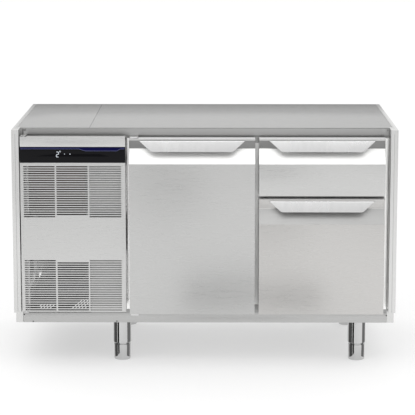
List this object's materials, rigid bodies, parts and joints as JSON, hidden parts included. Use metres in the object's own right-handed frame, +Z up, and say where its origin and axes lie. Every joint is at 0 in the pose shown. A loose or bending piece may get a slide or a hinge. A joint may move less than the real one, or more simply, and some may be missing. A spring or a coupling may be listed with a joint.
{
  "type": "under counter fridge",
  "caption": "Low refrigerated counter without a worktop: slotted cooling unit at left, hinged door with a recessed grip, and a shallow over a deep drawer, on adjustable round feet.",
  "frame": {"origin": "on the floor, under the middle of the cabinet's box", "axes": "+X to the right seen from the front, +Y to the back, +Z up; the door and drawers face -Y"},
  "size_m": [1.26, 0.712, 0.8],
  "materials": {
    "steel": "satin",
    "bright_steel": "gloss",
    "galvanised": "matte",
    "foam": "matte",
    "grey_rubber": "matte",
    "black_glass": "gloss",
    "black_paint": "satin",
    "black_plastic": "matte",
    "grey_plastic": "matte",
    "aluminium": "satin",
    "copper": "satin"
  },
  "bodies": {
    "root": {"base_frame": "steel", "cable_gland": "black_plastic", "cell_casing": "steel", "centre_mullion": "steel", "compressor": "black_paint", "condenser_coil": "copper", "condenser_shroud": "black_paint", "copper_pipe": "copper", "door_bottom_hinge": "bright_steel", "door_top_hinge": "bright_steel", "drawer_cross_rail": "steel", "drawer_rack_left": "galvanised", "drawer_rack_right": "galvanised", "electrical_box": "grey_plastic", "evaporation_tray": "grey_plastic", "evaporator_coil": "aluminium", "evaporator_cover": "steel", "front_frame": "steel", "inner_liner": "steel", "insulation_core": "foam", "left_side_panel": "steel", "leg_front_left": "bright_steel", "leg_front_right": "bright_steel", "leg_rear_left": "bright_steel", "leg_rear_right": "bright_steel", "right_side_panel": "steel", "shelf_rack_left": "steel", "shelf_rack_right": "steel", "top_rail": "steel", "unit_floor": "galvanised", "unit_panel_hinge": "bright_steel", "unit_rear_grille": "galvanised", "unit_top_cover": "steel", "wire_shelf": "bright_steel"},
    "door": {"door_skin": "steel", "door_core": "steel", "door_gasket": "grey_rubber", "door_handle": "bright_steel"},
    "unit_panel": {"unit_front_panel": "steel", "control_glass": "black_glass"},
    "upper_drawer": {"upper_drawer_skin": "steel", "upper_drawer_core": "steel", "upper_drawer_gasket": "grey_rubber", "upper_drawer_handle": "bright_steel", "upper_drawer_frame": "galvanised"},
    "lower_drawer": {"lower_drawer_skin": "steel", "lower_drawer_core": "steel", "lower_drawer_gasket": "grey_rubber", "lower_drawer_handle": "bright_steel", "lower_drawer_frame": "galvanised"},
    "condenser_fan": {"condenser_fan": "aluminium"},
    "evaporator_fan": {"evaporator_fan": "grey_plastic"},
    "upper_slide_left": {"upper_drawer_slide_left": "galvanised"},
    "upper_slide_right": {"upper_drawer_slide_right": "galvanised"},
    "lower_slide_left": {"lower_drawer_slide_left": "galvanised"},
    "lower_slide_right": {"lower_drawer_slide_right": "galvanised"},
    "foot_front_left": {"foot_front_left": "bright_steel"},
    "foot_front_right": {"foot_front_right": "bright_steel"},
    "foot_rear_left": {"foot_rear_left": "bright_steel"},
    "foot_rear_right": {"foot_rear_right": "bright_steel"}
  },
  "joints": [
    {"name": "door_hinge", "type": "hinge", "parent": "root", "child": "door", "pos_m": [-0.237, -0.334, 0.47795], "axis": [0, 0, -1], "range_deg": [0, 100]},
    {"name": "unit_panel_hinge", "type": "hinge", "parent": "root", "child": "unit_panel", "pos_m": [-0.5905, -0.336, 0.48525], "axis": [0, 0, -1], "range_deg": [0, 90]},
    {"name": "upper_drawer_slide", "type": "slide", "parent": "root", "child": "upper_drawer", "axis": [0, -1, 0], "range_m": [0, 0.5]},
    {"name": "upper_slide_left_travel", "type": "slide", "parent": "root", "child": "upper_slide_left", "axis": [0, -1, 0], "range_m": [0, 0.25]},
    {"name": "upper_slide_right_travel", "type": "slide", "parent": "root", "child": "upper_slide_right", "axis": [0, -1, 0], "range_m": [0, 0.25]},
    {"name": "lower_drawer_slide", "type": "slide", "parent": "root", "child": "lower_drawer", "axis": [0, -1, 0], "range_m": [0, 0.5]},
    {"name": "lower_slide_left_travel", "type": "slide", "parent": "root", "child": "lower_slide_left", "axis": [0, -1, 0], "range_m": [0, 0.25]},
    {"name": "lower_slide_right_travel", "type": "slide", "parent": "root", "child": "lower_slide_right", "axis": [0, -1, 0], "range_m": [0, 0.25]},
    {"name": "foot_front_left_adjust", "type": "slide", "parent": "root", "child": "foot_front_left", "axis": [0, 0, -1], "range_m": [0, 0.045]},
    {"name": "foot_front_right_adjust", "type": "slide", "parent": "root", "child": "foot_front_right", "axis": [0, 0, -1], "range_m": [0, 0.045]},
    {"name": "foot_rear_left_adjust", "type": "slide", "parent": "root", "child": "foot_rear_left", "axis": [0, 0, -1], "range_m": [0, 0.045]},
    {"name": "foot_rear_right_adjust", "type": "slide", "parent": "root", "child": "foot_rear_right", "axis": [0, 0, -1], "range_m": [0, 0.045]},
    {"name": "condenser_fan_spin", "type": "hinge", "parent": "root", "child": "condenser_fan", "pos_m": [-0.4975, -0.1787, 0.595], "axis": [0, -1, 0], "continuous": true},
    {"name": "evaporator_fan_spin", "type": "hinge", "parent": "root", "child": "evaporator_fan", "pos_m": [-0.24225, 0.029, 0.53795], "axis": [1, 0, 0], "continuous": true}
  ],
  "couplings": [
    {"joint": "upper_slide_left_travel", "follows": "upper_drawer_slide", "ratio": 0.5},
    {"joint": "upper_slide_right_travel", "follows": "upper_drawer_slide", "ratio": 0.5},
    {"joint": "lower_slide_left_travel", "follows": "lower_drawer_slide", "ratio": 0.5},
    {"joint": "lower_slide_right_travel", "follows": "lower_drawer_slide", "ratio": 0.5}
  ]
}
